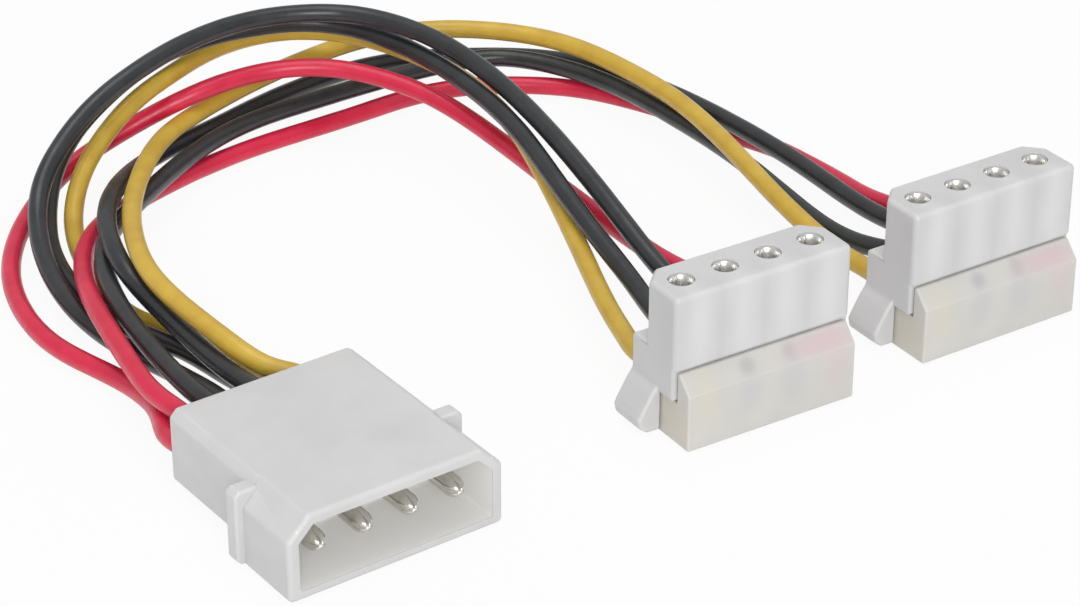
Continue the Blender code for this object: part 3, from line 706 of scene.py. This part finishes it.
pin_tin = tin("pin_tin", (0.76, 0.735, 0.69), 0.14)
nose = [(PIN_RADIUS * math.sin(math.radians(t)), PIN_TIP + PIN_NOSE * (1 - math.cos(math.radians(t))))
        for t in range(3, 91, 6)]
pin_profile = [(0.05, PIN_TIP)] + nose + [(PIN_RADIUS, y) for y in PIN_STATIONS] + [
    (PIN_RADIUS, BODY_FRONT - 0.02), (PIN_RADIUS + 0.1, BODY_FRONT), (BODY_RADIUS - 0.15, BODY_FRONT),
    (BODY_RADIUS, BODY_FRONT + 0.15), (BODY_RADIUS, BODY_BACK - 0.1), (BARREL_RADIUS, BODY_BACK + 0.35),
    (BARREL_RADIUS, BARREL_END - 0.15), (BARREL_RADIUS - 0.15, BARREL_END), (0.3, BARREL_END),
]
for i, x in enumerate(MM_ROW):
    pin = lathe(pin_profile, "Y", (0, 0), 64, pin_dent)
    finish_turned(pin, f"pin_{i + 1}_rolled", x, PLUG_HEIGHT / 2, pin_tin, f"plug_pin_{i + 1}")

# Socket housings: natural nylon, a mating block over a wider shoulder, with an ear flaring down
# each end. Four round chambers hold the contacts, and the wires lie in grooves under the shoulder.
SOCKET_TOP = 16.2
BLOCK_HALF = 10.415
BLOCK_DEPTH = 6.6
BLOCK_BOTTOM = 7.96
BLOCK_CORNER = 1.9
SHOULDER_HALF = 10.4
SHOULDER_BACK = 4.2
SHOULDER_TOP = 9.2
SHOULDER_FRONT = 2.9
SEAM_HEIGHT = 4.6
SEAM_HALF = 0.06
HOLE_DIAMETER = 2.7
HOLE_LIP = 0.4
CHAMBER_DIAMETER = 3.9
CHAMBER_BOTTOM = 8.6
SLOT_HALF = 2.05
SLOT_DEPTH = 0.6
GROOVE_RADIUS = 1.2
EAR_PROUD = 2.2
EAR_INNER = 10.0
EAR_ROOT = 2.5
EAR_FRONT = -0.5
EAR_BACK = 4.1
EAR_BOTTOM = 0.3
EAR_TOP = 6.4
EAR_CORNER = 1.1
BLOCK_ROUND = (0.65, 0.55)
SHOULDER_ROUND = (0.4, 0.35)


def stand(letter):
    """Where a socket stands on the table and how it is turned."""
    return Matrix.Translation((*SOCKET_PLACES[letter], 0)) @ Matrix.Rotation(SOCKET_TURNS[letter], 4, "Z")


def groove(x, front):
    """The round way that a wire lies in, half in the housing and half in the cover."""
    line = [(GROOVE_RADIUS, front), (GROOVE_RADIUS, SHOULDER_BACK + 1)]
    return lathe(line, "Y", (x, SEAM_HEIGHT), 32)


def blade_slot(x, low, high):
    """The slot that a contact's blade stands in."""
    left, right = x - SLOT_HALF, x + SLOT_HALF
    square = [(left, -SLOT_DEPTH), (right, -SLOT_DEPTH), (right, SLOT_DEPTH), (left, SLOT_DEPTH)]
    return soft_prism(square, "Z", low, high)


def socket_housing(letter, look):
    """One housing: block, shoulder and ears moulded in one, then its slots, chambers and grooves."""
    back = BLOCK_DEPTH / 2
    block = [
        (-BLOCK_HALF, -back), (BLOCK_HALF, -back), (BLOCK_HALF, back - BLOCK_CORNER),
        (BLOCK_HALF - BLOCK_CORNER, back), (-BLOCK_HALF + BLOCK_CORNER, back),
        (-BLOCK_HALF, back - BLOCK_CORNER),
    ]
    body = soft_prism(block, "Z", BLOCK_BOTTOM, SOCKET_TOP, *BLOCK_ROUND)
    low = SEAM_HEIGHT + SEAM_HALF
    shoulder = [
        (-SHOULDER_FRONT, low), (SHOULDER_BACK, low),
        (SHOULDER_BACK, SHOULDER_TOP), (-SHOULDER_FRONT, SHOULDER_TOP),
    ]
    added = [soft_prism(shoulder, "X", -SHOULDER_HALF, SHOULDER_HALF, *SHOULDER_ROUND)]
    reach = SHOULDER_HALF + EAR_PROUD
    for side in (-1, 1):
        ear = [
            (EAR_INNER, EAR_BOTTOM),
            (reach - EAR_CORNER, EAR_BOTTOM),
            (reach - 0.2 * EAR_CORNER, EAR_BOTTOM + 0.6 * EAR_CORNER),
            (reach, EAR_BOTTOM + 1.5 * EAR_CORNER),
            (reach - 0.3 * EAR_CORNER, EAR_BOTTOM + 2.1 * EAR_CORNER),
            (SHOULDER_HALF + 0.35 * EAR_PROUD, SEAM_HEIGHT - 0.15),
            (SHOULDER_HALF + 0.1 * EAR_PROUD, SEAM_HEIGHT + 0.6),
            (SHOULDER_HALF - 0.3, EAR_TOP),
            (SHOULDER_HALF - EAR_ROOT, EAR_TOP),
            (SHOULDER_HALF - EAR_ROOT, SEAM_HEIGHT + 0.35),
            (EAR_INNER, SEAM_HEIGHT + 0.35),
        ]
        added.append(soft_prism([(side * x, z) for x, z in ear], "Y", EAR_FRONT, EAR_BACK, *SHOULDER_ROUND))
    combine(body, added, "UNION")
    combine(body, [blade_slot(x, SEAM_HEIGHT - 1, CHAMBER_BOTTOM + 0.5) for x in MM_ROW], "DIFFERENCE")
    lip = SOCKET_TOP - HOLE_LIP
    chamber = [
        (CHAMBER_DIAMETER / 2, CHAMBER_BOTTOM), (CHAMBER_DIAMETER / 2, lip),
        (HOLE_DIAMETER / 2, lip), (HOLE_DIAMETER / 2, SOCKET_TOP + 1),
    ]
    combine(body, [lathe(chamber, "Z", (x, 0), 40) for x in MM_ROW], "DIFFERENCE")
    combine(body, [groove(x, -SHOULDER_FRONT - 1) for x in MM_ROW], "DIFFERENCE")
    finish_moulding(body, f"socket_{letter}_moulding", look, "socket_nylon", f"socket_{letter}_housing")
    body.matrix_world = stand(letter)


# Painted light on the wall in front of each sleeve, where it is thin, and painted shade between two
# chambers, where it is thick
WIRE_TINTS = (AMBER, VIOLET_GREY, VIOLET_GREY, PINK)
THIN_WALL_PAINTED_LIGHT = (0.73, 0.73, 0.74)
THICK_WALL_PAINTED_SHADE = (0.57, 0.57, 0.59)
between = [1000 * PITCH * (k - 2) for k in range(5)]
# Painted light in front of each sleeve
block_patches = [((x, -2.0, 12.5), (1.9, 4.5, 9.0), THIN_WALL_PAINTED_LIGHT, 0.7) for x in MM_ROW]
# Painted shade between two chambers
block_patches += [((x, -3.0, 12.0), (0.9, 3.5, 8.0), THICK_WALL_PAINTED_SHADE, 0.45) for x in between]
block_patches += [((x, 0.5, 4.8), (2.8, 6.5, 3.6), tint, 0.55) for x, tint in zip(MM_ROW, WIRE_TINTS)]
block_nylon = nylon("block_nylon", (0.67, 0.67, 0.675), block_patches, 0.38)
for letter in "ab":
    socket_housing(letter, block_nylon)

# Socket covers: a tray of nylon pressed up under the wires, between the ears. Its front wall rises
# over the wires' cut ends and slopes back to meet the mating block.
COVER_HALF = 9.93
COVER_FRONT = 5.1
COVER_LEDGE = 6.12
COVER_PEAK = 7.92
PEAK_LAND = 0.45
COVER_ROUND = (0.22, 0.21)
COVER_BACK = 4.4
COVER_INSIDE = 3.0
BLADE_REACH = 2.7


def socket_cover(letter, look):
    """One cover: the tray with its sloping front, then its grooves and slots."""
    low = SEAM_HEIGHT - SEAM_HALF
    tray = [
        (-COVER_FRONT, 0), (COVER_BACK, 0), (COVER_BACK, low), (-COVER_INSIDE, low),
        (-COVER_INSIDE, COVER_PEAK), (-COVER_INSIDE - PEAK_LAND, COVER_PEAK), (-COVER_FRONT, COVER_LEDGE),
    ]
    body = soft_prism(tray, "X", -COVER_HALF, COVER_HALF, *COVER_ROUND)
    combine(body, [groove(x, -SHOULDER_FRONT + 0.15) for x in MM_ROW], "DIFFERENCE")
    combine(body, [blade_slot(x, BLADE_REACH, SEAM_HEIGHT + 1) for x in MM_ROW], "DIFFERENCE")
    finish_moulding(body, f"socket_{letter}_tray", look, "cover_nylon", f"socket_{letter}_cover")
    body.matrix_world = stand(letter)


# The cut ends of the two middle wires show dark through the slope, and the red one pink. The cover's left
# end gets a warm painted shade.
DARK_END = (0.43, 0.42, 0.44)
# Warm painted shade for the cover's left end
LEFT_END_WARM_SHADE = (0.65, 0.60, 0.50)
cover_patches = [((x, -3.6, 4.8), (2.6, 3.4, 4.4), tint, 0.55) for x, tint in zip(MM_ROW, WIRE_TINTS)]
cover_patches += [((x, -3.9, 7.0), (1.3, 1.8, 1.1), DARK_END, 0.5) for x in MM_ROW[1:3]]
cover_patches += [
    ((MM_ROW[3] - 1.5, -4.3, 7.0), (6.0, 1.8, 1.7), PINK, 0.8),
    # Painted shade, warm in tone, on the cover's left end
    ((-COVER_HALF, -2.0, 2.5), (1.6, 5.0, 4.0), LEFT_END_WARM_SHADE, 0.7),
]
cover_nylon = nylon("cover_nylon", (0.67, 0.653, 0.62), cover_patches, 0.42)
for letter in "ab":
    socket_cover(letter, cover_nylon)

# Socket contacts: tin-plated phosphor bronze. A sleeve rolled up with a seam flares at its mouth to
# lead the pin in, and below it a flat blade forks over the wire and cuts into its vinyl.
SLEEVE_RADIUS = 1.65
SLEEVE_BORE = 1.12
WAIST_RADIUS = 0.9
MOUTH_RADIUS = 1.30
MOUTH_TOP = 16.0
SLEEVE_BOTTOM = 8.9
SLEEVE_FLOOR = 9.5
BLADE_TOP = 8.3
BLADE_BOTTOM = 3.0
BLADE_HALF = 1.75
BLADE_THICK = 0.6
FORK_RADIUS = 1.35
NECK_HALF = 1.2
contact_tin = tin("contact_tin", (0.90, 0.89, 0.86), 0.30)


def sleeve_dent(turn, along):
    """The open seam of the rolled sleeve, at its back."""
    seam = abs((turn - math.pi / 2 + math.pi) % (2 * math.pi) - math.pi)
    return 1 - 0.07 * math.exp(-((seam / 0.09) ** 2))


def contact(letter, i):
    """One contact: the sleeve with its narrow waist, and the fork of the blade joined below it."""
    lip = SOCKET_TOP - HOLE_LIP - 0.1
    profile = [
        (0.05, SLEEVE_FLOOR), (SLEEVE_BORE - 0.1, SLEEVE_FLOOR), (SLEEVE_BORE, SLEEVE_FLOOR + 0.1),
        (SLEEVE_BORE, MOUTH_TOP - 3.4), (WAIST_RADIUS, MOUTH_TOP - 2.6), (WAIST_RADIUS, MOUTH_TOP - 1.9),
        (SLEEVE_BORE, MOUTH_TOP - 0.7), (MOUTH_RADIUS - 0.09, MOUTH_TOP - 0.05),
        (MOUTH_RADIUS - 0.04, MOUTH_TOP), (MOUTH_RADIUS, MOUTH_TOP - 0.04), (MOUTH_RADIUS, lip),
        (SLEEVE_RADIUS - 0.1, lip), (SLEEVE_RADIUS, lip - 0.1),
        (SLEEVE_RADIUS, SLEEVE_BOTTOM), (0.05, SLEEVE_BOTTOM),
    ]
    sleeve = lathe(profile, "Z", (0, 0), 56, sleeve_dent)
    fork = [(-BLADE_HALF, BLADE_BOTTOM), (-FORK_RADIUS, BLADE_BOTTOM)]
    for k in range(13):
        turn = math.radians(180 - 15 * k)
        fork.append((FORK_RADIUS * math.cos(turn), SEAM_HEIGHT + FORK_RADIUS * math.sin(turn)))
    fork += [
        (FORK_RADIUS, BLADE_BOTTOM), (BLADE_HALF, BLADE_BOTTOM),
        (BLADE_HALF, BLADE_TOP), (NECK_HALF, BLADE_TOP),
        (NECK_HALF, SLEEVE_BOTTOM + 0.3), (-NECK_HALF, SLEEVE_BOTTOM + 0.3), (-NECK_HALF, BLADE_TOP),
        (-BLADE_HALF, BLADE_TOP),
    ]
    combine(sleeve, [soft_prism(fork, "Y", -BLADE_THICK / 2, BLADE_THICK / 2)], "UNION")
    name, node = f"contact_{letter}{i + 1}_rolled", f"socket_{letter}_contact_{i + 1}"
    finish_turned(sleeve, name, MM_ROW[i], 0, contact_tin, node)
    sleeve.matrix_world = stand(letter)


for letter in "ab":
    for i in range(4):
        contact(letter, i)
